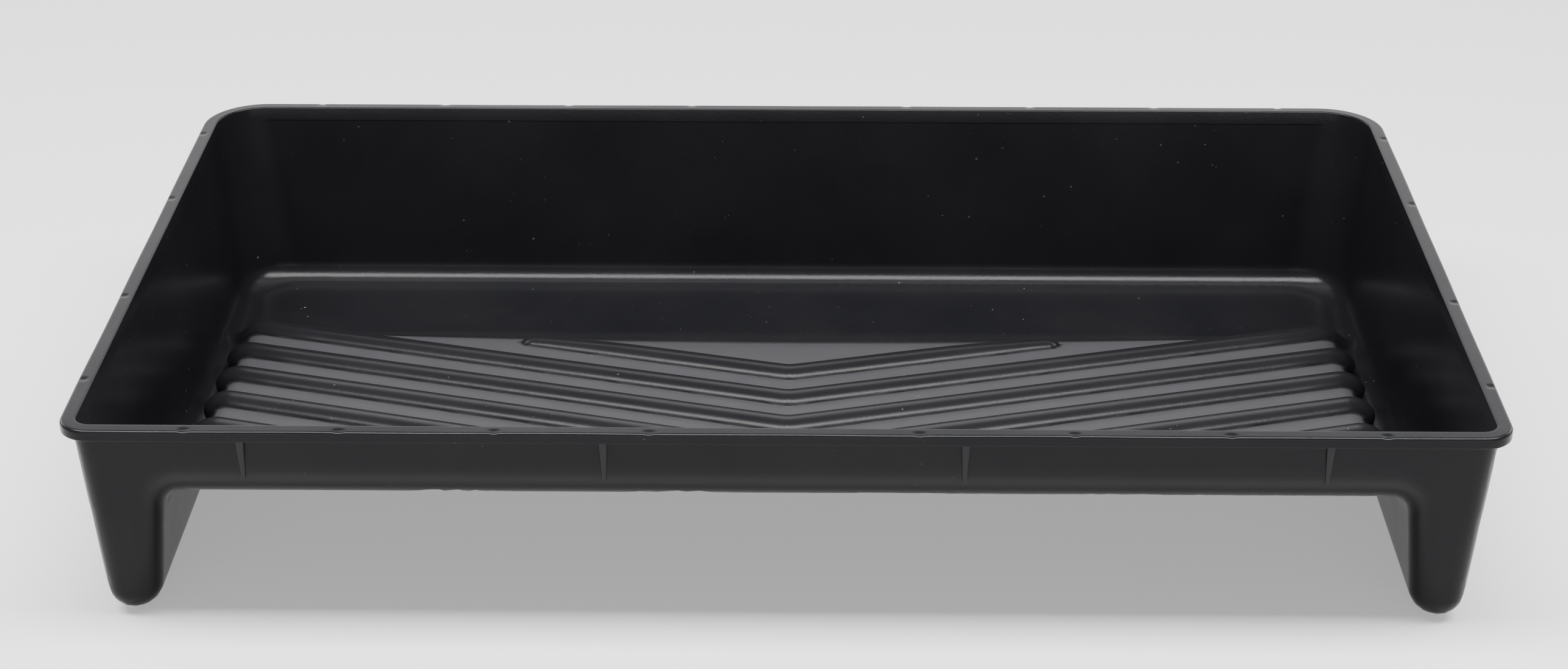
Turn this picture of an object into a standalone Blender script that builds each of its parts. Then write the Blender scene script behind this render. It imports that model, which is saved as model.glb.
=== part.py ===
"""A wide paint roller tray, which is one plastic moulding: each region of it is an object of its own.

The tray stands on Z = 0, on its well floor and on two hollow feet. X runs along the tray, Y points from the
shallow end with the feet to the deep well, and the origin is under the middle of the rim's outline. The sizes
below are in millimetres, and MM turns them into Blender's metres.
"""

import math

import bmesh
import bpy

MM = 0.001

# Driving dimensions
LENGTH = 560.0
WIDTH = 352.0
HEIGHT = 88.0
WALL = 2.2
DRAFT = 0.087
GAP = 0.3

# Rim: a flange with a lip that turns down
FLANGE = 6.5
LIP_DROP = 4.5
LIP_THICKNESS = 1.8
FLANGE_THICKNESS = 2.0
RIM_ROUND = 1.5
COLLAR_BOTTOM = 84.2
BACK_RADIUS = 28.0
FRONT_RADIUS = 13.0
CORNER_STEPS = 8

# Walls, floor and side troughs
CURVE_RADIUS = 8.5
CURVE_STEPS = 5
SHOULDER_RADIUS = 9.0
SHOULDER_STEPS = 6
TROUGH_SPLAY = 0.03
SPLAY_START = -35.0
MOST_SPLAY = 3.0
FLOOR_FRONT = 90.0

# Ramp: straight over most of its length, steeper towards the front wall
RAMP_HEIGHT_AT_MIDDLE = 24.0
RAMP_SLOPE = 0.174
STEEP_START = -119.0
STEEP_GAIN = 0.00588
RAMP_BACK = 72.0
RAMP_FRONT = -158.0
RAMP_HALF_LENGTH = 240.0
RAMP_STATIONS = 16
STEP_SIDE_TOP = 241.0
STEP_SIDE_FOOT = 254.0

# Front wall and feet
FRONT_WALL_HALF_LENGTH = 232.0
FRONT_WALL_FOOT = 66.0
FOOT_STEPS = 10
ARCH_RADIUS = 10.0
ARCH_TOP = 58.0

# Grip ribs: chevrons that point at the front wall
RIB_HALF_WIDTH = 8.5
RIB_HEIGHT = 5.0
RIB_EDGE = 0.4
RIB_SLOPE = 0.455
RIB_PITCH = 38.0
FIRST_APEX = 11.0
SHORT_RIB_END = 125.0
LONG_RIB_END = 248.0
RIB_FRONT = -156.5
RIB_NOSE = 7.0
RIB_STATION = 24.0
FULL_RIBS = 5
ALL_RIBS = 7

# Gussets under the rim
GUSSET_PLACES = (-209.2, -69.6, 69.6, 209.2)
GUSSET_TOP = 85.4
GUSSET_FOOT = 65.0
GUSSET_TOP_WIDTH = 4.0
GUSSET_FOOT_WIDTH = 1.5
GUSSET_DEPTH = 3.0
GUSSET_FOOT_DEPTH = 0.5

BLACK = (0.012, 0.012, 0.013, 1.0)
RIM_BLACK = (0.02, 0.02, 0.021, 1.0)


def clear_scene():
    for obj in list(bpy.data.objects):
        bpy.data.objects.remove(obj)


def plastic(name, colour, roughness):
    material = bpy.data.materials.new(name)
    material.use_nodes = True
    shader = material.node_tree.nodes["Principled BSDF"]
    shader.inputs["Base Color"].default_value = colour
    shader.inputs["Roughness"].default_value = roughness
    shader.inputs["Metallic"].default_value = 0.0
    return material


def add_object(name, mesh_builder, colour=BLACK, roughness=0.35):
    """Fills a bmesh with mesh_builder(bm), in millimetres, and makes it the object called name."""
    bm = bmesh.new()
    mesh_builder(bm)
    bmesh.ops.scale(bm, vec=(MM, MM, MM), verts=bm.verts)
    bmesh.ops.recalc_face_normals(bm, faces=bm.faces)
    mesh = bpy.data.meshes.new(name)
    bm.to_mesh(mesh)
    bm.free()
    mesh.shade_smooth()
    mesh.set_sharp_from_angle(angle=math.radians(35))
    mesh.materials.append(plastic(name + "_plastic", colour, roughness))
    obj = bpy.data.objects.new(name, mesh)
    bpy.context.scene.collection.objects.link(obj)
    return obj


def loft(name, rings, **finish):
    """Joins closed rings of points, each with as many points as the next, and caps both ends."""

    def build(bm):
        loops = [[bm.verts.new(point) for point in ring] for ring in rings]
        for near, far in zip(loops, loops[1:]):
            for i, corner in enumerate(near):
                j = (i + 1) % len(near)
                bm.faces.new((corner, near[j], far[j], far[i]))
        bm.faces.new(loops[0])
        bm.faces.new(loops[-1][::-1])

    return add_object(name, build, **finish)


def slab(name, upper, lower, **finish):
    """Closes the space between two grids of points of the same size."""

    def build(bm):
        top = [[bm.verts.new(point) for point in row] for row in upper]
        base = [[bm.verts.new(point) for point in row] for row in lower]
        rows = len(top)
        columns = len(top[0])
        for i in range(rows - 1):
            for j in range(columns - 1):
                bm.faces.new((top[i][j], top[i][j + 1], top[i + 1][j + 1], top[i + 1][j]))
                bm.faces.new((base[i][j], base[i + 1][j], base[i + 1][j + 1], base[i][j + 1]))
        border = [(0, j) for j in range(columns)]
        border += [(i, columns - 1) for i in range(1, rows)]
        border += [(rows - 1, j) for j in range(columns - 2, -1, -1)]
        border += [(i, 0) for i in range(rows - 2, 0, -1)]
        for (i, j), (k, m) in zip(border, border[1:] + border[:1]):
            bm.faces.new((top[i][j], base[i][j], base[k][m], top[k][m]))

    return add_object(name, build, **finish)


# Outline of the tray, as (place on the rim's outer edge, outward direction)


def straight_frames(side, trim=GAP / 2):
    half_x = LENGTH / 2
    half_y = WIDTH / 2
    if side in ("front", "back"):
        sign = 1 if side == "back" else -1
        radius = BACK_RADIUS if side == "back" else FRONT_RADIUS
        reach = half_x - radius - trim
        return [((x, sign * half_y), (0, sign)) for x in (-reach, reach)]
    sign = 1 if side == "right" else -1
    ends = (-half_y + FRONT_RADIUS + trim, half_y - BACK_RADIUS - trim)
    return [((sign * half_x, y), (sign, 0)) for y in ends]


def corner_frames(x_sign, y_sign):
    radius = BACK_RADIUS if y_sign > 0 else FRONT_RADIUS
    centre = (x_sign * (LENGTH / 2 - radius), y_sign * (WIDTH / 2 - radius))
    trim = GAP / 2 / radius
    frames = []
    for step in range(CORNER_STEPS + 1):
        angle = trim + (math.pi / 2 - 2 * trim) * step / CORNER_STEPS
        out = (x_sign * math.cos(angle), y_sign * math.sin(angle))
        frames.append(((centre[0] + radius * out[0], centre[1] + radius * out[1]), out))
    return frames


def sweep(name, frames, profile, **finish):
    """Sweeps a profile of (distance outwards, height) points along frames of the outline."""
    rings = []
    for place, out in frames:
        rings.append([(place[0] + out[0] * n, place[1] + out[1] * n, z) for n, z in profile])
    return loft(name, rings, **finish)


def inner_face(z):
    """How far inwards of the rim's outer edge the wall's inner face lies."""
    return FLANGE + DRAFT * (HEIGHT - z)


def outer_face(z):
    return inner_face(z) - WALL


CURVE_TOP = WALL + CURVE_RADIUS
CURVE_CENTRE = inner_face(CURVE_TOP) + CURVE_RADIUS
TROUGH_MIDDLE = LENGTH / 2 - CURVE_CENTRE


def rim_profile():
    flange_foot = HEIGHT - FLANGE_THICKNESS
    collar = inner_face(COLLAR_BOTTOM)
    return [
        (-collar, COLLAR_BOTTOM),
        (-FLANGE, HEIGHT - RIM_ROUND / 2),
        (-FLANGE + RIM_ROUND / 2, HEIGHT),
        (-RIM_ROUND, HEIGHT),
        (-RIM_ROUND * 0.3, HEIGHT - RIM_ROUND * 0.3),
        (0, HEIGHT - RIM_ROUND),
        (0, HEIGHT - LIP_DROP),
        (-LIP_THICKNESS, HEIGHT - LIP_DROP),
        (-LIP_THICKNESS, flange_foot),
        (WALL - FLANGE, flange_foot),
        (WALL - collar, COLLAR_BOTTOM),
    ]


def wall_profile():
    top = COLLAR_BOTTOM - GAP
    foot = CURVE_TOP + GAP
    return [
        (-inner_face(top), top),
        (-inner_face(foot), foot),
        (-outer_face(foot), foot),
        (-outer_face(top), top),
    ]


def curve_profile():
    """The rounded edge between a wall and the floor."""
    inner = []
    outer = []
    for step in range(CURVE_STEPS + 1):
        angle = math.pi / 2 * step / CURVE_STEPS
        for points, radius in ((inner, CURVE_RADIUS), (outer, CURVE_RADIUS + WALL)):
            away = -CURVE_CENTRE + radius * math.cos(angle)
            points.append((away, CURVE_TOP - radius * math.sin(angle)))
    return inner + outer[::-1]


def corner_profile():
    top = COLLAR_BOTTOM - GAP
    curve = curve_profile()
    return [(-inner_face(top), top), *curve, (-outer_face(top), top)]


def make_rim():
    profile = rim_profile()
    for side in ("front", "back", "left", "right"):
        sweep("rim_" + side, straight_frames(side), profile, colour=RIM_BLACK)
    for name, x_sign, y_sign in CORNERS:
        sweep("rim_corner_" + name, corner_frames(x_sign, y_sign), profile, colour=RIM_BLACK)


CORNERS = (
    ("front_left", -1, -1),
    ("front_right", 1, -1),
    ("back_left", -1, 1),
    ("back_right", 1, 1),
)
SIDES = (("left", -1), ("right", 1))


def front_inner(z):
    """Y of the front wall's inner face."""
    return inner_face(z) - WIDTH / 2


def side_strip(name, sign, profile):
    """A strip of a side wall, from the front wall's inner face to the back corner."""
    back = WIDTH / 2 - BACK_RADIUS - GAP / 2
    rings = [[], []]
    for n, z in profile:
        x = sign * (LENGTH / 2 + n)
        rings[0].append((x, front_inner(z) + GAP, z))
        rings[1].append((x, back, z))
    return loft(name, rings)


def make_walls():
    sweep("back_wall", straight_frames("back"), wall_profile())
    sweep("back_floor_curve", straight_frames("back"), curve_profile())
    for name, sign in SIDES:
        side_strip(name + "_wall", sign, wall_profile())
        side_strip(name + "_side_curve", sign, curve_profile())
        sweep("back_%s_corner" % name, corner_frames(sign, 1), corner_profile())


def ramp_height(y):
    """Height of the ramp's upper face."""
    steep = max(0.0, STEEP_START - y)
    return RAMP_HEIGHT_AT_MIDDLE - RAMP_SLOPE * y + STEEP_GAIN * steep * steep / 2


def stations(start, end, count):
    return [start + (end - start) * i / (count - 1) for i in range(count)]


def make_ramp():
    reach = RAMP_HALF_LENGTH - GAP / 2
    upper = []
    lower = []
    for y in stations(RAMP_FRONT + GAP, RAMP_BACK, RAMP_STATIONS):
        z = ramp_height(y)
        upper.append([(-reach, y, z), (reach, y, z)])
        lower.append([(-reach, y, z - WALL), (reach, y, z - WALL)])
    slab("ramp", upper, lower, colour=RIM_BLACK, roughness=0.5)


def ease(t):
    t = min(max(t, 0.0), 1.0)
    return t * t * (3 - 2 * t)


def make_ramp_step():
    """The short slope from the ramp's back edge down to the well floor, with sides that slope too."""
    side = [STEP_SIDE_TOP + (STEP_SIDE_FOOT - STEP_SIDE_TOP) * i / 5 for i in range(6)]
    columns = side + [TROUGH_MIDDLE - GAP]
    columns = [-x for x in reversed(columns)] + columns
    rise = ramp_height(RAMP_BACK) - WALL
    upper = []
    lower = []
    for y in stations(RAMP_BACK + GAP, FLOOR_FRONT - GAP, 7):
        height = rise * (1 - ease((y - RAMP_BACK) / (FLOOR_FRONT - RAMP_BACK)))
        row = []
        for x in columns:
            across = (abs(x) - STEP_SIDE_TOP) / (STEP_SIDE_FOOT - STEP_SIDE_TOP)
            row.append((x, y, WALL + height * (1 - ease(across))))
        upper.append(row)
        lower.append([(x, y, max(z - WALL, 0.0)) for x, y, z in row])
    slab("ramp_step", upper, lower)


def make_well_floor():
    reach = TROUGH_MIDDLE - GAP
    back = WIDTH / 2 - CURVE_CENTRE - GAP
    radius = BACK_RADIUS - CURVE_CENTRE - GAP
    outline = [(-reach, FLOOR_FRONT), (reach, FLOOR_FRONT)]
    for sign in (1, -1):
        arc = [math.pi / 2 * step / CORNER_STEPS for step in range(CORNER_STEPS + 1)]
        if sign < 0:
            arc.reverse()
        for angle in arc:
            x = reach - radius + radius * math.cos(angle)
            y = back - radius + radius * math.sin(angle)
            outline.append((sign * x, y))
    loft("well_floor", [[(x, y, z) for x, y in outline] for z in (0.0, WALL)])


def trough_section(y):
    """Upper and lower points across the ramp's shoulder, the trough's inner wall and its rounded foot."""
    splay = min(max(TROUGH_SPLAY * (y - SPLAY_START), 0.0), MOST_SPLAY)
    top = ramp_height(y)
    wall_x = TROUGH_MIDDLE - CURVE_RADIUS + splay
    foot_radius = CURVE_RADIUS - splay
    shoulder = min(SHOULDER_RADIUS, top - WALL - foot_radius * 0.2)
    lean = DRAFT * max(top - shoulder - CURVE_TOP, 0.0)
    upper = [(RAMP_HALF_LENGTH + GAP / 2, top)]
    lower = [(RAMP_HALF_LENGTH + GAP / 2, top - WALL)]
    inner_shoulder = max(shoulder - WALL, 0.4)
    for step in range(SHOULDER_STEPS + 1):
        angle = math.pi / 2 * (1 - step / SHOULDER_STEPS)
        x = wall_x - lean - shoulder
        upper.append((x + shoulder * math.cos(angle), top - shoulder + shoulder * math.sin(angle)))
        x += shoulder - WALL - inner_shoulder
        z = top - WALL - inner_shoulder
        lower.append((x + inner_shoulder * math.cos(angle), z + inner_shoulder * math.sin(angle)))
    foot = min(CURVE_RADIUS, max(top - shoulder - WALL, 1.0)) if top - shoulder > WALL else 1.0
    for step in range(CURVE_STEPS + 1):
        angle = math.pi / 2 * step / CURVE_STEPS
        x = TROUGH_MIDDLE - GAP / 2
        upper.append((x - foot_radius * math.cos(angle), WALL + foot * (1 - math.sin(angle))))
        outer_foot = foot + WALL
        lower.append((x - (foot_radius + WALL) * math.cos(angle), outer_foot * (1 - math.sin(angle))))
    return upper, lower


def make_trough_inner_walls():
    for name, sign in SIDES:
        upper = []
        lower = []
        for index, y in enumerate(stations(front_inner(HEIGHT / 2), RAMP_BACK, RAMP_STATIONS)):
            above, below = trough_section(y)
            rows = (upper, lower)
            for row, section in zip(rows, (above, below)):
                points = []
                for x, z in section:
                    place = front_inner(z) + GAP if index == 0 else y
                    points.append((sign * x, place, z))
                row.append(points)
        slab(name + "_trough_inner_wall", upper, lower)


def make_front_wall():
    """The short wall between the feet, and the curve that takes its lower edge back to the ramp."""
    top = COLLAR_BOTTOM - GAP
    reach = FRONT_WALL_HALF_LENGTH - GAP / 2
    end = RAMP_FRONT
    end_height = ramp_height(end)
    foot = FRONT_WALL_FOOT
    wall = [(front_inner(top), top), (front_inner(foot), foot)]
    wall += [(front_inner(foot) - WALL, foot), (front_inner(top) - WALL, top)]
    joint = foot - GAP
    curve = [(front_inner(joint), joint), (front_inner(joint) + 1.5, joint - 4.0), (end, end_height)]
    curve += [(end, end_height - WALL), (front_inner(joint) + 2.0, end_height - 0.2)]
    curve += [(front_inner(joint) - WALL + 1.0, joint - 5.0), (front_inner(joint) - WALL, joint)]
    for name, profile in (("front_wall", wall), ("front_ramp_curve", curve)):
        loft(name, [[(x, y, z) for y, z in profile] for x in (-reach, reach)])


def foot_outline():
    """Front view of the right foot's front, as (x, z), from its outer top corner round to the arch."""
    top = HEIGHT - LIP_DROP - GAP
    outer_radius = CURVE_RADIUS + WALL
    outline = [(LENGTH / 2 - outer_face(top), top)]
    for step in range(FOOT_STEPS + 1):
        angle = math.pi * step / FOOT_STEPS
        x = TROUGH_MIDDLE + outer_radius * math.cos(angle)
        outline.append((x, CURVE_TOP - outer_radius * math.sin(angle)))
    rise = ARCH_TOP - ARCH_RADIUS
    inner_x = TROUGH_MIDDLE - outer_radius - DRAFT * (rise - CURVE_TOP)
    for step in range(CURVE_STEPS + 1):
        angle = math.pi / 2 * step / CURVE_STEPS
        x = inner_x - ARCH_RADIUS + ARCH_RADIUS * math.cos(angle)
        outline.append((max(x, FRONT_WALL_HALF_LENGTH), rise + ARCH_RADIUS * math.sin(angle)))
    outline.append((FRONT_WALL_HALF_LENGTH, top))
    return outline


def make_leg_fronts():
    for name, sign in SIDES:
        outline = foot_outline()
        rings = []
        for depth in (WALL, 0.0):
            rings.append([(sign * x, front_inner(z) - depth, z) for x, z in outline])
        loft(name + "_leg_front", rings)


def rib_height(y):
    return ramp_height(y) + GAP


def make_rib(name, apex, start, end, sign):
    """One chevron, or with sign one arm of it: a half-round ridge with round ends."""
    reach = RIB_HALF_WIDTH * math.sqrt(1 + RIB_SLOPE * RIB_SLOPE)
    if sign:
        count = max(3, round((end - start) / RIB_STATION))
        along = [sign * x for x in stations(start, end - RIB_NOSE, count)]
        along += [sign * (end - RIB_NOSE * part) for part in (0.6, 0.3, 0.1, 0.0)]
    else:
        count = 2 * round(end / RIB_STATION) + 1
        along = stations(RIB_NOSE - end, end - RIB_NOSE, count)
        nose = [end - RIB_NOSE * part for part in (0.6, 0.3, 0.1, 0.0)]
        along = [-x for x in reversed(nose)] + along + nose
    upper = []
    lower = []
    for x in along:
        past = min(max((abs(x) - end + RIB_NOSE) / RIB_NOSE, 0.0), 0.985)
        taper = math.sqrt(1 - past * past)
        top = []
        base = []
        for part in (-1.0, -0.85, -0.55, 0.0, 0.55, 0.85, 1.0):
            y = apex + RIB_SLOPE * abs(x) + part * reach * taper
            rise = (RIB_HEIGHT - RIB_EDGE - GAP) * math.sqrt(1 - part * part) * taper
            base.append((x, y, rib_height(y)))
            top.append((x, y, rib_height(y) + RIB_EDGE + rise))
        upper.append(top)
        lower.append(base)
    slab(name, upper, lower, colour=RIM_BLACK, roughness=0.45)


def make_ribs():
    reach = RIB_HALF_WIDTH * math.sqrt(1 + RIB_SLOPE * RIB_SLOPE)
    for index in range(ALL_RIBS):
        apex = FIRST_APEX - RIB_PITCH * index
        end = SHORT_RIB_END if index == 0 else LONG_RIB_END
        if index < FULL_RIBS:
            make_rib("rib_%d" % (index + 1), apex, 0.0, end, 0)
            continue
        start = (RIB_FRONT + reach - apex) / RIB_SLOPE
        for name, sign in SIDES:
            make_rib("rib_%d_%s" % (index + 1, name), apex, start, end, sign)


def make_gussets():
    """Small triangles that stiffen the rim along the front and the back wall."""
    for side, y_sign in (("front", -1), ("back", 1)):
        for index, x in enumerate(GUSSET_PLACES):
            rings = []
            for z, width, depth in (
                (GUSSET_TOP, GUSSET_TOP_WIDTH, GUSSET_DEPTH),
                (GUSSET_FOOT, GUSSET_FOOT_WIDTH, GUSSET_FOOT_DEPTH),
            ):
                near = WIDTH / 2 - outer_face(z) + GAP
                far = min(near + depth, WIDTH / 2 - LIP_THICKNESS - GAP)
                half = width / 2
                corners = ((x - half, near), (x + half, near), (x + half, far), (x - half, far))
                rings.append([(px, y_sign * py, z) for px, py in corners])
            loft("gusset_%s_%d" % (side, index + 1), rings)


clear_scene()
make_rim()
make_walls()
make_well_floor()
make_ramp()
make_ramp_step()
make_trough_inner_walls()
make_front_wall()
make_leg_fronts()
make_ribs()
make_gussets()
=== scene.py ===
"""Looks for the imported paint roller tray: a wide black plastic moulding on a pale studio floor.

The tray is one piece of plastic, so its skin is meshed as one surface. cavity_depth() says how deep
inside the plastic a point is: 0 on the side that holds the paint, and WALL on the side that faces the
floor. Both skins are found on a grid, moved onto their level, and joined under the rim. The rim and the
gussets are meshes of their own. The tray's sizes are in millimetres, and MM turns them into metres. The
studio and the materials are in metres.
"""

import math

import bmesh
import bpy
import mathutils
import numpy as np
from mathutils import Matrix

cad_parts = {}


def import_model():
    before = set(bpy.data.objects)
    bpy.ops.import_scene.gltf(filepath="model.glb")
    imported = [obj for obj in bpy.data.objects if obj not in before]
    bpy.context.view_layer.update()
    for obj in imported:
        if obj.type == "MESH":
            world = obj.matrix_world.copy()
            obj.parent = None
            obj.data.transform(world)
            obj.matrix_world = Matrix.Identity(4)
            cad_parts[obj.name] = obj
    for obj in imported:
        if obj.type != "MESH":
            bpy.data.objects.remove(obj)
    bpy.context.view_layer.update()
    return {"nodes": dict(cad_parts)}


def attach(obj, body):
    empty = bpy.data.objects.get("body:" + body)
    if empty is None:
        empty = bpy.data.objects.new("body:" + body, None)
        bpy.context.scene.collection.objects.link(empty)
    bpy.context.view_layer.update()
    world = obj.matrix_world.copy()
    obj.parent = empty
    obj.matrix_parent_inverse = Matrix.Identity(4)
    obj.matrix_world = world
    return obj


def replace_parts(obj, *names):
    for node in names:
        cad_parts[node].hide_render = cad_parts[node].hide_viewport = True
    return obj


MM = 0.001

# Outline and walls
SIZE = (560.0, 352.0, 88.0)
WALL = 2.2
DRAFT = 0.087
BODY_TOP = 84.0
BACK_RADIUS = 28.0
BACK_RADIUS_GAIN = 0.05
FRONT_RADIUS = 13.0
FRONT_INNER_RADIUS = 6.1
FLOOR_CURVE = 8.5

# Rim: its flange, the lip on its edge, the collar that overlaps the wall, and the radii of their edges
FLANGE = 6.5
FLANGE_THICKNESS = 2.0
FLANGE_TOP_START = -5.3
FLANGE_TOP_STEP = 0.5
FLANGE_TOP_POINTS = 8
LIP_DROP = 4.5
LIP_THICKNESS = 1.8
LIP_FACE_TOP = 2.6
LIP_FACE_FOOT = 1.2
COLLAR_FOOT = 82.0
COLLAR_STEP = 0.16
COLLAR_ROUND = 0.7
EDGE_ROUND = 1.3
LIP_FOOT_ROUND = 0.5
LIP_INNER_ROUND = 0.4
UNDER_ROUND = 0.6
UNDER_INSET = 0.9
BACK_CORNER_STEPS = 28
FRONT_CORNER_STEPS = 18
RIM_SPACING = 1.0

# How far the real rim is from straight: it wanders in and down, and has a little flash under its lip
WANDER_WIDTH = 5.5
WANDER_IN = 0.16
WANDER_IN_RIPPLE = 0.14
WANDER_DOWN = 0.12
FLASH_BAND = 0.6
FLASH_WIDTH = 2.5
FLASH_DROP = 0.35

# Ramp and side troughs
RAMP_MIDDLE_HEIGHT = 24.0
RAMP_SLOPE = 0.174
STEEP_START = -119.0
STEEP_GAIN = 0.00588
TROUGH_WALL = 249.7
TROUGH_DRAFT = 0.1
TROUGH_SPLAY = 0.035
SPLAY_START = -60.0
SHOULDER_RADIUS = 9.0
BRINK_RADIUS = 3.5
BRINK_MIDDLE = 68.0
BRINK_BOW = 13.0
BRINK_BOW_AT = 200.0
BRINK_BOW_LIMIT = 1.2
STEP_FOOT = 89.0

# Grip ribs
RIB_HEIGHT = 5.0
RIB_HALF_WIDTH = 8.8
RIB_ARC = 6.4
RIB_FILLET = 0.8
RIB_SLOPE = 0.45
RIB_APEX_ROUND = 1.4
RIB_APEXES = (12.9, -26.5, -64.8, -102.5, -140.5, -178.5, -216.5)
SHORT_RIB_END = 115.7
RIB_FADE = (-161.0, -150.0)
RIB_ROLL_OFF = (-13.0, -3.0)

# Where the ramp's matt surface fades out: below its top, past its sides, at its ends and on its ribs
RIB_GRIP = 0.04
GRIP_DOWN = (-3.0, -1.2)
GRIP_SIDE = (5.0, 1.0)
GRIP_FRONT = (-166.0, -158.0)
GRIP_BACK = 4.0
GRIP_RIB_HEIGHT = (-0.9, -0.3)

# Lines of the grid that the skin is meshed on: (start, spacing) along X and Z, and places across a rib
TOP_MARGIN = 0.6
X_STOPS = ((0.0, 1.8), (14.0, 5.5), (104.0, 2.0), (128.0, 5.5), (236.0, 1.7), (284.0, 1.0))
Z_STOPS = ((-2.0, 1.5), (14.0, 2.0), (62.0, 2.6), (BODY_TOP - TOP_MARGIN, 1.0))
ACROSS_RIB = (1.2, 3.5, 5.7, 7.4, 8.4, 9.0, 9.6, 10.4, 11.8, 13.8, 16.4, 19.0)
ACROSS_RIB_COARSE = (1.8, 5.2, 8.0, 9.6, 11.4, 15.0, 19.0)
REST_SPACING = 1.9
LEAST_SPACING = 0.45
GRID_MARGIN = 3
FULL_DETAIL = 1.3
OUTER_DETAIL = 1.4
SLOPE_REACH = 0.02
LEVEL_ROUNDS = 5

# Gate mark, where the plastic entered the mould
GATE_Y = 68.0
GATE_RADIUS = 10.0
GATE_RINGS = 2.5
GATE_DEPTH = 0.22

# Gussets under the rim
GUSSET_PLACES = (-209.2, -69.6, 69.6, 209.2)
GUSSET_TOP = 86.2
GUSSET_FOOT = 64.5
GUSSET_TOP_WIDTH = 3.6
GUSSET_FOOT_WIDTH = 1.5
GUSSET_FOOT_DEPTH = 0.12
GUSSET_DEPTH_GAIN = 2.4
GUSSET_ROOT = 0.6
GUSSET_ROUND = 0.4
GUSSET_STEPS = 16
# The share of the ramp's lighter matt colour and roughness that the gussets get: a painted highlight
# that sets them off from the wall.
GUSSET_PAINTED_HIGHLIGHT = 0.4

# Pin marks on the rim
DIMPLE_RADIUS = 2.1
DIMPLE_DEPTH = 0.3
DIMPLE_SKIN = 1.0
DIMPLE_INSET = 1.9
SIDE_DIMPLE_INSET = 2.4
BACK_DIMPLE_SHIFT = 3.0
FRONT_DIMPLES = (-230.0, -170.6, -111.0, -51.7, 51.7, 111.0, 170.6, 230.0)
SIDE_DIMPLES = (-130.0, -50.0, 55.5, 134.7)

# Camera: where it stands in millimetres, its tilt up from straight down, its turn, and its lens
CAMERA_PLACE = (13.1, -1252.7, 633.9)
CAMERA_PITCH = 64.94
CAMERA_TURN = 0.70
CAMERA_LENS = 72.67
SENSOR_WIDTH = 36.0

# The studio floor lies just below the tray, so that the two surfaces don't share a plane
FLOOR_GAP = 0.0003
FLOOR_HALF = 6.0
FLOOR_GREY = (0.47, 0.47, 0.47, 1.0)
FLOOR_ROUGHNESS = 0.9
FLOOR_SPECULAR = 0.1
FLOOR_GLOW = 0.4
WHITE = (1.0, 1.0, 1.0, 1.0)
WORLD_STRENGTH = 0.35

# Softboxes: name, place, what they face, size, and how bright their face is
SOFTBOXES = (
    ("overhead_softbox", (0.0, -0.22, 1.4), (0.0, 0.0, 0.0), (2.6, 0.5), 34.0),
    ("backdrop_softbox", (0.0, 2.4, 0.9), (0.0, 0.0, 0.2), (5.0, 1.6), 1.7),
    ("left_softbox", (-2.3, 1.7, 1.2), (0.0, 0.0, 0.0), (1.6, 1.4), 4.5),
    ("right_softbox", (2.3, 1.7, 1.2), (0.0, 0.0, 0.0), (1.6, 1.4), 4.5),
    ("front_softbox", (0.0, -2.6, 0.5), (0.0, 0.0, 0.0), (4.0, 0.8), 4.0),
)

# The plastic: its colours, its shine, and the share of it that dust and haze cover
GLOSSY_BLACK = (0.0044, 0.0044, 0.0053, 1.0)
MATT_BLACK = (0.0275, 0.027, 0.0295, 1.0)
DUST = (0.07, 0.068, 0.064, 1.0)
PLASTIC_IOR = 1.49
PLASTIC_SPECULAR = 0.11
GLOSSY_ROUGHNESS = (0.22, 0.27)
MATT_ROUGHNESS_GAIN = 0.4
MATT_LEAST = 0.85
SPECK_SCALE = 260.0
SPECK_RADIUS = 0.16
DUST_COVER = 0.8
HAZE_COVER = 0.03

# Fine relief: the scale of its noise, its strength and its height
GRAIN = (900.0, 0.25, 0.00015)
SINK = (32.0, 0.2, 0.0009)

# A ripple's waves: how their lengths vary, and the greatest shift of their start
WAVE_LENGTHS = (0.6, 1.6)
WAVE_SHIFT = 6.3


def smooth_noise(x, y, z, seed, waves=6, size=60.0):
    """A slow, repeatable ripple between about -1 and 1, as the sum of a few sine waves."""
    rng = np.random.default_rng(seed)
    total = np.zeros_like(x)
    for _ in range(waves):
        direction = rng.normal(size=3)
        direction /= np.linalg.norm(direction) * size * rng.uniform(*WAVE_LENGTHS) / (2 * math.pi)
        phase = direction[0] * x + direction[1] * y + direction[2] * z
        total += np.sin(phase + rng.uniform(0, WAVE_SHIFT))
    return total / math.sqrt(waves * 2)


def round_max(a, b, radius):
    """The greater of two distances, with the edge between them rounded to a radius."""
    edge = np.hypot(np.maximum(a + radius, 0), np.maximum(b + radius, 0))
    return np.minimum(-radius, np.maximum(a, b)) + edge


def smooth_step(value, low, high):
    """0 up to low, 1 from high on, and a smooth rise between them."""
    share = np.clip((value - low) / (high - low), 0, 1)
    return share * share * (3 - 2 * share)


def rounded_rectangle(x, y, half_x, half_y, radius):
    """Distance outside a rectangle with round corners, around the origin."""
    across = np.abs(x) - half_x + radius
    along = np.abs(y) - half_y + radius
    outside = np.hypot(np.maximum(across, 0), np.maximum(along, 0))
    return outside + np.minimum(np.maximum(across, along), 0) - radius


def box_depth(x, y, z):
    """Depth into the walls and the well floor, from the cavity."""
    inset = FLANGE + DRAFT * (SIZE[2] - z)
    back_radius = BACK_RADIUS - FLANGE + BACK_RADIUS_GAIN * (SIZE[2] - z)
    radius = np.where(y > 0, back_radius, FRONT_INNER_RADIUS)
    walls = rounded_rectangle(x, y, SIZE[0] / 2 - inset, SIZE[1] / 2 - inset, radius)
    return round_max(walls / math.hypot(1, DRAFT), WALL - z, FLOOR_CURVE)


def ramp_height(y):
    """Height of the ramp's flats: a straight slope that gets steeper towards the shallow end."""
    steep = np.maximum(STEEP_START - y, 0)
    return RAMP_MIDDLE_HEIGHT - RAMP_SLOPE * y + STEEP_GAIN * steep * steep / 2


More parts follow.
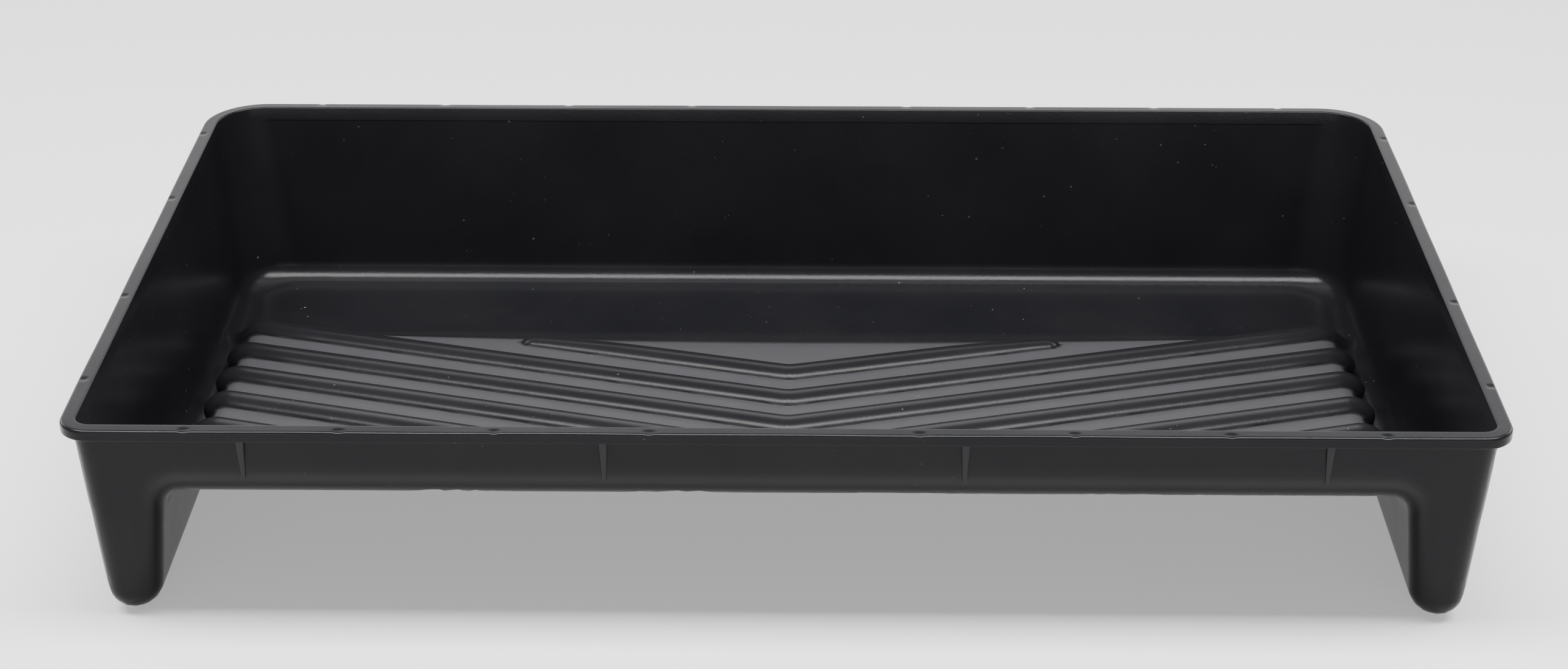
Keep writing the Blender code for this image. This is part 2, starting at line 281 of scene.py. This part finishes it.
def rib_profile(across):
    """Height of a rib at a distance across it: an arc made lower, with a small curve at its foot."""
    radius = (RIB_HALF_WIDTH**2 + RIB_ARC**2) / (2 * RIB_ARC)
    inside = np.maximum(radius * radius - across * across, 0)
    crown = (np.sqrt(inside) - radius + RIB_ARC) * RIB_HEIGHT / RIB_ARC
    reach = np.maximum(RIB_FILLET - np.abs(crown), 0)
    return np.maximum(crown, 0) + reach * reach / (4 * RIB_FILLET)


def rib_bump(x, y):
    """Height of the ribs above the ramp: chevrons that point to the shallow end. The first is short."""
    turn = math.hypot(1, RIB_SLOPE)
    spread = np.hypot(x, RIB_APEX_ROUND)
    height = np.zeros_like(x)
    for index, apex in enumerate(RIB_APEXES):
        across = (y - apex - RIB_SLOPE * spread) / turn
        if index == 0:
            end_y = apex + RIB_SLOPE * SHORT_RIB_END
            along = ((spread - SHORT_RIB_END) + RIB_SLOPE * (y - end_y)) / turn
            across = np.hypot(across, np.maximum(along, 0))
        height = np.maximum(height, rib_profile(across))
    return height * smooth_step(y, *RIB_FADE)


def ramp_depth(x, y, z):
    """Distance outside the raised ramp, whose sides are the troughs' inner walls."""
    side = np.abs(x)
    top = (z - ramp_height(y)) / math.hypot(1, RAMP_SLOPE)
    splay = TROUGH_SPLAY * np.maximum(y - SPLAY_START, 0)
    wall = side - TROUGH_WALL + TROUGH_DRAFT * (z - WALL - FLOOR_CURVE) - splay
    brink = BRINK_MIDDLE + BRINK_BOW * np.minimum(side / BRINK_BOW_AT, BRINK_BOW_LIMIT) ** 2
    drop = ramp_height(brink) - WALL
    run = STEP_FOOT - brink
    step = ((y - STEP_FOOT) * drop + (z - WALL) * run) / np.hypot(drop, run)
    raised = round_max(top, wall / math.hypot(1, TROUGH_DRAFT), SHOULDER_RADIUS)
    raised = round_max(raised, step, BRINK_RADIUS)
    from_gate = np.hypot(x, y - GATE_Y)
    rings = np.cos(from_gate * 2 * math.pi / (GATE_RADIUS / GATE_RINGS)) * (from_gate < GATE_RADIUS)
    bump = rib_bump(x, y) * smooth_step(z - ramp_height(y), *RIB_ROLL_OFF)
    return raised - bump - rings * GATE_DEPTH / 2


def cavity_depth(x, y, z):
    """How deep a point is in the plastic, seen from the side that holds the paint."""
    return round_max(box_depth(x, y, z), -ramp_depth(x, y, z), FLOOR_CURVE)


def gradient(points):
    """The direction in which cavity_depth grows, and how fast."""
    slopes = []
    for axis in np.eye(3) * SLOPE_REACH:
        ahead = cavity_depth(*(points + axis).T)
        behind = cavity_depth(*(points - axis).T)
        slopes.append((ahead - behind) / (2 * SLOPE_REACH))
    return np.stack(slopes, axis=1)


def grid_line(stops, detail):
    """Coordinates through (start, spacing up to the next start) pairs. The last start ends the line."""
    line = []
    for (start, step), (end, _) in zip(stops, stops[1:]):
        count = max(1, round((end - start) / (step * detail)))
        line += list(np.linspace(start, end, count, endpoint=False))
    return np.array([*line, stops[-1][0]])


def grid_lines(detail):
    """The grid's lines along X, across the ribs and along Z. The grid leans with the ribs."""
    half = grid_line(X_STOPS, detail)
    along_x = np.concatenate([-half[:0:-1], half])
    offsets = np.array(ACROSS_RIB if detail <= FULL_DETAIL else ACROSS_RIB_COARSE)
    offsets = np.concatenate([-offsets[::-1], offsets])
    ribs = np.concatenate([offsets + apex for apex in RIB_APEXES])
    front = -SIZE[1] / 2 - GRID_MARGIN - RIB_SLOPE * SIZE[0] / 2
    rest = grid_line([(front, REST_SPACING), (ribs.min(), 1)], detail)
    back = grid_line([(ribs.max(), REST_SPACING), (SIZE[1] / 2 + GRID_MARGIN, 1)], detail)
    across = np.unique(np.round(np.concatenate([rest, ribs, back]), 2))
    kept = np.append(np.diff(across) > LEAST_SPACING, True)
    along_z = np.append(grid_line(Z_STOPS, detail), BODY_TOP + TOP_MARGIN)
    return along_x, across[kept], along_z


def move_onto_level(points, on_top, level):
    """Moves points onto the surface cavity_depth = level. Those on the open top edge stay on it."""
    points[on_top, 2] = BODY_TOP
    for _ in range(LEVEL_ROUNDS):
        slope = gradient(points)
        slope[on_top, 2] = 0
        error = cavity_depth(*points.T) - level
        points -= slope * (error / (slope * slope).sum(axis=1))[:, None]


def level_surface(level, detail):
    """The surface cavity_depth = level, with one point in each grid cell that it passes through.

    It returns the points, the quads, and whether each point is on the open top edge.
    """
    lines = grid_lines(detail)
    x, y, z = np.meshgrid(*lines, indexing="ij")
    y += RIB_SLOPE * np.hypot(x, RIB_APEX_ROUND)
    field = cavity_depth(x, y, z) - level
    nodes = np.stack([x, y, z], axis=-1)
    cells = tuple(len(line) - 1 for line in lines)
    total = np.zeros((*cells, 3))
    count = np.zeros(cells)
    crossings = []
    for axis in range(3):
        low = [slice(None)] * 3
        high = [slice(None)] * 3
        low[axis] = slice(0, -1)
        high[axis] = slice(1, None)
        near = field[tuple(low)]
        far = field[tuple(high)]
        found = np.argwhere((near < 0) != (far < 0))
        at = tuple(found.T)
        share = (near[at] / (near[at] - far[at]))[:, None]
        place = nodes[tuple(low)][at] * (1 - share) + nodes[tuple(high)][at] * share
        crossings.append((axis, found, near[at] < 0))
        others = [a for a in range(3) if a != axis]
        for back_a in (0, 1):
            for back_b in (0, 1):
                cell = found.copy()
                cell[:, others[0]] -= back_a
                cell[:, others[1]] -= back_b
                inside = ((cell >= 0) & (cell < cells)).all(axis=1)
                np.add.at(total, tuple(cell[inside].T), place[inside])
                np.add.at(count, tuple(cell[inside].T), 1)
    used = np.argwhere(count > 0)
    index = np.full(cells, -1)
    index[tuple(used.T)] = np.arange(len(used))
    points = total[tuple(used.T)] / count[tuple(used.T)][:, None]
    on_top = used[:, 2] == cells[2] - 1
    quads = []
    for axis, found, grows in crossings:
        first, second = (axis + 1) % 3, (axis + 2) % 3
        corners = []
        for back_a, back_b in ((0, 0), (1, 0), (1, 1), (0, 1)):
            cell = found.copy()
            cell[:, first] -= back_a
            cell[:, second] -= back_b
            corners.append(cell)
        kept = np.logical_and.reduce([((c >= 0) & (c < cells)).all(axis=1) for c in corners])
        quad = np.stack([index[tuple(c[kept].T)] for c in corners], axis=1)
        turned = grows[kept]
        quad[turned] = quad[turned][:, ::-1]
        quads.append(quad)
    move_onto_level(points, on_top, level)
    return points, np.concatenate(quads), on_top


def in_turn(points, chosen):
    """The chosen points' numbers and angles, in order round the tray's middle."""
    found = np.flatnonzero(chosen)
    angle = np.arctan2(points[found, 1] / SIZE[1], points[found, 0] / SIZE[0])
    order = np.argsort(angle)
    return found[order], angle[order]


def strip_between(inner, inner_angle, outer, outer_angle):
    """Triangles that join two rings of points, which have different numbers of points."""
    triangles = []
    i = 0
    j = 0
    while i < len(inner) or j < len(outer):
        a = inner[i % len(inner)]
        b = outer[j % len(outer)]
        next_inner = inner_angle[i] if i < len(inner) else math.inf
        next_outer = outer_angle[j] if j < len(outer) else math.inf
        if next_inner <= next_outer:
            triangles.append((a, b, inner[(i + 1) % len(inner)]))
            i += 1
        else:
            triangles.append((a, b, outer[(j + 1) % len(outer)]))
            j += 1
    return triangles


def grip_share(points):
    """1 on the ramp's matt flats, RIB_GRIP on its ribs, and 0 on the glossy walls, floor and troughs."""
    x, y, z = points.T
    on_top = smooth_step(z - ramp_height(y), *GRIP_DOWN)
    inside = smooth_step(-np.abs(x), -TROUGH_WALL - GRIP_SIDE[0], -TROUGH_WALL - GRIP_SIDE[1])
    before_step = smooth_step(-y, -STEP_FOOT, -STEP_FOOT + GRIP_BACK)
    ramp = on_top * inside * smooth_step(y, *GRIP_FRONT) * before_step
    return ramp * (RIB_GRIP + (1 - RIB_GRIP) * smooth_step(-rib_bump(x, y), *GRIP_RIB_HEIGHT))


def make_moulding(material):
    """The tray's walls, floor, ramp, ribs, troughs and feet, as one closed mesh."""
    detail = FULL_DETAIL
    inner, inner_quads, inner_top = level_surface(0.0, detail)
    outer, outer_quads, outer_top = level_surface(WALL, detail * OUTER_DETAIL)
    normals = np.concatenate([-gradient(inner), gradient(outer)])
    normals /= np.linalg.norm(normals, axis=1)[:, None]
    ring = in_turn(inner, inner_top)
    outer_ring = in_turn(outer, outer_top)
    strip = strip_between(ring[0], ring[1], outer_ring[0] + len(inner), outer_ring[1])
    faces = [tuple(quad) for quad in inner_quads]
    faces += [tuple(quad) for quad in outer_quads[:, ::-1] + len(inner)]
    faces += strip
    points = np.concatenate([inner, outer])
    mesh = bpy.data.meshes.new("tray_moulding")
    mesh.from_pydata((points * MM).tolist(), [], faces)
    mesh.shade_smooth()
    matt = mesh.attributes.new("matt_and_painted_highlight", "FLOAT", "POINT")
    share = grip_share(points)
    share[len(inner):] = 0
    matt.data.foreach_set("value", share.astype(np.float32))
    mesh.normals_split_custom_set_from_vertices(normals.tolist())
    return add_piece("tray_moulding", mesh, material)


def add_piece(name, mesh, material):
    """A piece of the tray, which rides on the tray's one body."""
    mesh.materials.append(material)
    piece = bpy.data.objects.new(name, mesh)
    bpy.context.scene.collection.objects.link(piece)
    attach(piece, "root")
    return piece


def arc(centre, radius, start, end, steps):
    """Points of an arc, between two angles in degrees."""
    points = []
    for step in range(steps + 1):
        angle = math.radians(start + (end - start) * step / steps)
        points.append((centre[0] + radius * math.cos(angle), centre[1] + radius * math.sin(angle)))
    return points


def rim_profile():
    """Section of the rim, as distances outside the tray's outline and heights."""
    top = SIZE[2]
    under = top - FLANGE_THICKNESS
    foot = top - LIP_DROP
    face = -FLANGE - DRAFT * (top - COLLAR_FOOT) - COLLAR_STEP
    back = face + WALL + 2 * COLLAR_STEP
    profile = [(face, COLLAR_FOOT)]
    wall_angle = 180 - math.degrees(DRAFT)
    profile += arc((-FLANGE + COLLAR_ROUND, top - COLLAR_ROUND), COLLAR_ROUND, wall_angle, 90, 5)
    profile += [(FLANGE_TOP_START + FLANGE_TOP_STEP * step, top) for step in range(FLANGE_TOP_POINTS)]
    profile += arc((-EDGE_ROUND, top - EDGE_ROUND), EDGE_ROUND, 90, 0, 7)
    profile += [(0, top - LIP_FACE_TOP), (0, foot + LIP_FACE_FOOT)]
    profile += arc((-LIP_FOOT_ROUND, foot + LIP_FOOT_ROUND), LIP_FOOT_ROUND, 0, -90, 3)
    lip_inside = (-LIP_THICKNESS + LIP_INNER_ROUND, foot + LIP_INNER_ROUND)
    profile += arc(lip_inside, LIP_INNER_ROUND, -90, -180, 3)
    profile += arc((-LIP_THICKNESS - UNDER_ROUND, under - UNDER_ROUND), UNDER_ROUND, 0, 90, 4)
    profile += arc((back + UNDER_INSET, under - UNDER_ROUND), UNDER_ROUND, 90, wall_angle, 4)
    profile += [(back, COLLAR_FOOT)]
    return np.array(profile)


def outline():
    """Places on the rim's outer edge and their outward directions, once round the tray."""
    half = (SIZE[0] / 2, SIZE[1] / 2)
    places = []
    outs = []
    corners = (
        (1, 1, BACK_RADIUS, BACK_CORNER_STEPS, 0),
        (-1, 1, BACK_RADIUS, BACK_CORNER_STEPS, 90),
        (-1, -1, FRONT_RADIUS, FRONT_CORNER_STEPS, 180),
        (1, -1, FRONT_RADIUS, FRONT_CORNER_STEPS, 270),
    )
    for sign_x, sign_y, radius, steps, start in corners:
        centre = (sign_x * (half[0] - radius), sign_y * (half[1] - radius))
        for place in arc(centre, radius, start, start + 90, steps):
            places.append(place)
            outs.append(((place[0] - centre[0]) / radius, (place[1] - centre[1]) / radius))
    dense_places = []
    dense_outs = []
    for k, (place, out) in enumerate(zip(places, outs)):
        ahead = places[(k + 1) % len(places)]
        steps = max(1, round(math.dist(place, ahead) / RIM_SPACING))
        for step in range(steps):
            share = step / steps
            dense_places.append([a + (b - a) * share for a, b in zip(place, ahead)])
            dense_outs.append(out)
    return np.array(dense_places), np.array(dense_outs)


def dimple_centres():
    """Places of the round pin marks on the rim's four sides."""
    half = (SIZE[0] / 2, SIZE[1] / 2)
    centres = [(x, -half[1] + DIMPLE_INSET) for x in FRONT_DIMPLES]
    centres += [(x + BACK_DIMPLE_SHIFT, half[1] - DIMPLE_INSET) for x in FRONT_DIMPLES]
    centres += [(side * (half[0] - SIDE_DIMPLE_INSET), y) for y in SIDE_DIMPLES for side in (-1, 1)]
    return centres


def make_rim(material):
    """The flange and its lip, with pin marks, a slightly wavy edge and a little flash under the lip."""
    places, outs = outline()
    out_by, height = rim_profile().T[:, None]
    x = places[:, None, 0] + outs[:, None, 0] * out_by
    y = places[:, None, 1] + outs[:, None, 1] * out_by
    z = np.broadcast_to(height, x.shape).copy()
    level = np.zeros_like(x)
    edge = np.clip((out_by + WANDER_WIDTH) / WANDER_WIDTH, 0, 1)
    ripple = smooth_noise(x, y, level, seed=4, size=85.0)
    inwards = edge * np.maximum(WANDER_IN + WANDER_IN_RIPPLE * ripple, 0)
    x -= outs[:, None, 0] * inwards
    y -= outs[:, None, 1] * inwards
    sag = smooth_noise(x, y, level, seed=9, size=110.0)
    z -= edge * np.maximum(WANDER_DOWN + WANDER_DOWN * sag, 0)
    for centre_x, centre_y in dimple_centres():
        away = np.hypot(x - centre_x, y - centre_y) / DIMPLE_RADIUS
        z -= np.where(z > SIZE[2] - DIMPLE_SKIN, DIMPLE_DEPTH * np.clip(1 - away**4, 0, 1), 0)
    ragged = smooth_noise(x, y, level, seed=21, waves=10, size=5.0)
    patchy = np.maximum(smooth_noise(x, y, level, seed=22, size=45.0), 0)
    on_lip_foot = (z < SIZE[2] - LIP_DROP + FLASH_BAND) & (out_by > -FLASH_WIDTH)
    z -= np.where(on_lip_foot, FLASH_DROP * patchy * np.abs(ragged), 0)
    rings, count = x.shape
    points = np.stack([x, y, z], axis=-1).reshape(-1, 3)
    faces = []
    for i in range(rings):
        ahead = (i + 1) % rings
        for j in range(count):
            up = (j + 1) % count
            faces.append((i * count + j, i * count + up, ahead * count + up, ahead * count + j))
    mesh = bpy.data.meshes.new("rim")
    mesh.from_pydata((points * MM).tolist(), [], faces)
    bm = bmesh.new()
    bm.from_mesh(mesh)
    bmesh.ops.recalc_face_normals(bm, faces=bm.faces)
    bm.to_mesh(mesh)
    bm.free()
    mesh.shade_smooth()
    mesh.set_sharp_from_angle(angle=math.radians(50))
    return add_piece("rim", mesh, material)


def make_gusset(name, x, y_sign, material):
    """A tapering web between the rim and the wall, with its free edge rounded and a painted highlight on
    it.
    """
    bm = bmesh.new()
    rings = []
    for step in range(GUSSET_STEPS + 1):
        share = step / GUSSET_STEPS
        z = GUSSET_TOP + (GUSSET_FOOT - GUSSET_TOP) * share
        wall = SIZE[1] / 2 - FLANGE - DRAFT * (SIZE[2] - z) + WALL
        width = GUSSET_TOP_WIDTH + (GUSSET_FOOT_WIDTH - GUSSET_TOP_WIDTH) * share
        depth = GUSSET_FOOT_DEPTH + GUSSET_DEPTH_GAIN * (1 - share)
        half = width / 2
        corner = min(GUSSET_ROUND, depth / 2)
        ring = [(x - half, wall - GUSSET_ROOT)]
        ring += arc((x - half + corner, wall + depth - corner), corner, 180, 90, 3)
        ring += arc((x + half - corner, wall + depth - corner), corner, 90, 0, 3)
        ring += [(x + half, wall - GUSSET_ROOT)]
        rings.append([bm.verts.new((px * MM, y_sign * py * MM, z * MM)) for px, py in ring])
    for near, far in zip(rings, rings[1:]):
        for k, corner in enumerate(near):
            after = (k + 1) % len(near)
            bm.faces.new((corner, near[after], far[after], far[k]))
    bm.faces.new(rings[0])
    bm.faces.new(rings[-1][::-1])
    bmesh.ops.recalc_face_normals(bm, faces=bm.faces)
    mesh = bpy.data.meshes.new(name)
    bm.to_mesh(mesh)
    bm.free()
    mesh.shade_smooth()
    mesh.set_sharp_from_angle(angle=math.radians(40))
    # The web gets part of the ramp's lighter matt colour as a painted highlight.
    matt = mesh.attributes.new("matt_and_painted_highlight", "FLOAT", "POINT")
    matt.data.foreach_set("value", [GUSSET_PAINTED_HIGHLIGHT] * len(mesh.vertices))
    return add_piece(name, mesh, material)


def black_plastic():
    """Black polypropylene as it comes out of the mould, with a thin haze, a few dust specks, a lighter
    matt finish on the ramp, and a painted highlight on the gussets.
    """
    material = bpy.data.materials.new("black_polypropylene")
    material.use_nodes = True
    nodes = material.node_tree.nodes
    links = material.node_tree.links
    shader = nodes["Principled BSDF"]
    shader.inputs["IOR"].default_value = PLASTIC_IOR
    shader.inputs["Specular IOR Level"].default_value = PLASTIC_SPECULAR
    place = nodes.new("ShaderNodeTexCoord").outputs["Object"]

    def noise(scale, detail, roughness=0.5):
        node = nodes.new("ShaderNodeTexNoise")
        node.inputs["Scale"].default_value = scale
        node.inputs["Detail"].default_value = detail
        node.inputs["Roughness"].default_value = roughness
        links.new(place, node.inputs["Vector"])
        return node.outputs["Fac"]

    def spread(value, low, high, to_low, to_high):
        node = nodes.new("ShaderNodeMapRange")
        sockets = ("From Min", "From Max", "To Min", "To Max")
        for name, number in zip(sockets, (low, high, to_low, to_high)):
            node.inputs[name].default_value = number
        links.new(value, node.inputs["Value"])
        return node.outputs["Result"]

    def combine(operation, a, b):
        node = nodes.new("ShaderNodeMath")
        node.operation = operation
        node.use_clamp = True
        for socket, value in zip(node.inputs, (a, b)):
            if isinstance(value, float):
                socket.default_value = value
            else:
                links.new(value, socket)
        return node.outputs["Value"]

    specks = nodes.new("ShaderNodeTexVoronoi")
    specks.inputs["Scale"].default_value = SPECK_SCALE
    specks.inputs["Randomness"].default_value = 1.0
    links.new(place, specks.inputs["Vector"])
    speck_size = spread(noise(170.0, 2.0), 0.5, 0.75, 0.0, SPECK_RADIUS)
    near_speck = combine("LESS_THAN", specks.outputs["Distance"], speck_size)
    dust = combine("MULTIPLY", near_speck, spread(noise(35.0, 3.0), 0.45, 0.65, 0.0, DUST_COVER))
    haze = spread(noise(14.0, 5.0, 0.6), 0.35, 0.75, 0.0, HAZE_COVER)
    cover = combine("ADD", dust, haze)

    def blend(share, first, second):
        node = nodes.new("ShaderNodeMix")
        node.data_type = "RGBA"
        links.new(share, node.inputs["Factor"])
        for socket, value in ((node.inputs["A"], first), (node.inputs["B"], second)):
            if isinstance(value, tuple):
                socket.default_value = value
            else:
                links.new(value, socket)
        return node.outputs["Result"]

    # This attribute blends in the ramp's matt finish, which is lighter and rougher. On the gussets it is
    # a painted highlight.
    matt_and_painted_highlight = nodes.new("ShaderNodeAttribute")
    matt_and_painted_highlight.attribute_name = "matt_and_painted_highlight"
    evenness = spread(noise(60.0, 4.0), 0.2, 0.8, MATT_LEAST, 1.0)
    matt = combine("MULTIPLY", matt_and_painted_highlight.outputs["Fac"], evenness)
    plain = blend(matt, GLOSSY_BLACK, MATT_BLACK)
    links.new(blend(cover, plain, DUST), shader.inputs["Base Color"])
    rough = spread(noise(22.0, 6.0, 0.65), 0.3, 0.7, *GLOSSY_ROUGHNESS)
    rough = combine("ADD", rough, combine("MULTIPLY", matt_and_painted_highlight.outputs["Fac"], MATT_ROUGHNESS_GAIN))
    links.new(combine("ADD", rough, dust), shader.inputs["Roughness"])

    def relief(look, detail):
        scale, strength, distance = look
        node = nodes.new("ShaderNodeBump")
        node.inputs["Strength"].default_value = strength
        node.inputs["Distance"].default_value = distance
        links.new(noise(scale, detail), node.inputs["Height"])
        return node

    grain = relief(GRAIN, 3.0)
    sink = relief(SINK, 2.0)
    links.new(grain.outputs["Normal"], sink.inputs["Normal"])
    links.new(sink.outputs["Normal"], shader.inputs["Normal"])
    return material


def floor_material():
    """A pale grey that glows a little."""
    material = bpy.data.materials.new("studio_floor")
    material.use_nodes = True
    shader = material.node_tree.nodes["Principled BSDF"]
    shader.inputs["Base Color"].default_value = FLOOR_GREY
    shader.inputs["Roughness"].default_value = FLOOR_ROUGHNESS
    shader.inputs["Specular IOR Level"].default_value = FLOOR_SPECULAR
    shader.inputs["Emission Color"].default_value = WHITE
    shader.inputs["Emission Strength"].default_value = FLOOR_GLOW
    return material


def make_floor():
    """The square floor that the tray stands on."""
    mesh = bpy.data.meshes.new("studio_floor")
    half = FLOOR_HALF
    corners = ((-half, -half), (half, -half), (half, half), (-half, half))
    mesh.from_pydata([(x, y, -FLOOR_GAP) for x, y in corners], [], [(0, 1, 2, 3)])
    mesh.materials.append(floor_material())
    floor = bpy.data.objects.new("studio_floor", mesh)
    bpy.context.scene.collection.objects.link(floor)


def add_light(name, place, target, size, radiance):
    """A rectangular softbox. Its power follows from its size, so radiance is how bright its face is."""
    light = bpy.data.lights.new(name, "AREA")
    light.shape = "RECTANGLE"
    light.size, light.size_y = size
    light.energy = radiance * math.pi * size[0] * size[1]
    lamp = bpy.data.objects.new(name, light)
    bpy.context.scene.collection.objects.link(lamp)
    lamp.location = place
    direction = mathutils.Vector([t - p for p, t in zip(place, target)])
    lamp.rotation_euler = direction.to_track_quat("-Z", "Y").to_euler()


def make_studio():
    """The floor, an even white surround and the softboxes."""
    make_floor()
    world = bpy.data.worlds.new("studio")
    world.use_nodes = True
    world.node_tree.nodes["Background"].inputs["Color"].default_value = WHITE
    world.node_tree.nodes["Background"].inputs["Strength"].default_value = WORLD_STRENGTH
    bpy.context.scene.world = world
    for softbox in SOFTBOXES:
        add_light(*softbox)


def make_camera():
    """The camera that sees the tray as the photo does: from the front, a little above it."""
    data = bpy.data.cameras.new("camera")
    data.sensor_width = SENSOR_WIDTH
    data.lens = CAMERA_LENS
    camera = bpy.data.objects.new("camera", data)
    camera.location = [v * MM for v in CAMERA_PLACE]
    camera.rotation_euler = (math.radians(CAMERA_PITCH), 0.0, math.radians(CAMERA_TURN))
    bpy.context.scene.collection.objects.link(camera)
    bpy.context.scene.camera = camera


def main():
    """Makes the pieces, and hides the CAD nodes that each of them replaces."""
    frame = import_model()
    plastic = black_plastic()
    moulding = make_moulding(plastic)
    rim = make_rim(plastic)
    for side, y_sign in (("front", -1), ("back", 1)):
        for index, x in enumerate(GUSSET_PLACES):
            name = "gusset_%s_%d" % (side, index + 1)
            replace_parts(make_gusset("web_" + name, x, y_sign, plastic), name)
    for node in frame["nodes"]:
        if node.startswith("rim_"):
            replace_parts(rim, node)
        elif not node.startswith("gusset_"):
            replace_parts(moulding, node)
    make_studio()
    make_camera()


main()
